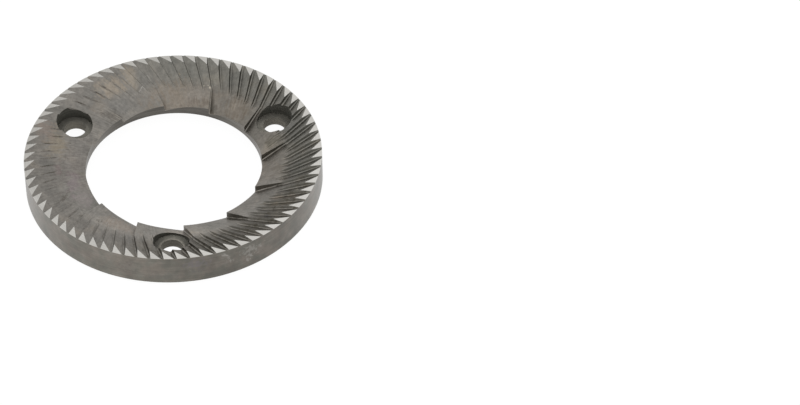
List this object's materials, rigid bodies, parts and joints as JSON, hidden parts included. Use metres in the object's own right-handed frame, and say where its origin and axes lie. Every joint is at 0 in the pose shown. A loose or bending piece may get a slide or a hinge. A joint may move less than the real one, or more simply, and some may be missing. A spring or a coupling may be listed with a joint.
{
  "type": "coffee grinder burr",
  "caption": "Flat steel ring burr: leaning cutting teeth on its face, breaker steps at the bore, counterbored screw holes and a relieved back. It grinds coffee beans.",
  "frame": {"origin": "centre of the ground back rim, on the plane that it rests on", "axes": "+Z along the ring's axis, out of the toothed face; the first screw hole lies on -Y"},
  "size_m": [0.064, 0.064, 0.0075],
  "materials": {
    "steel": "hardened tool steel, milled and turned grey with light heat tint; lands and back rim ground bright"
  },
  "bodies": {
    "root": {"burr": "steel"}
  },
  "joints": []
}
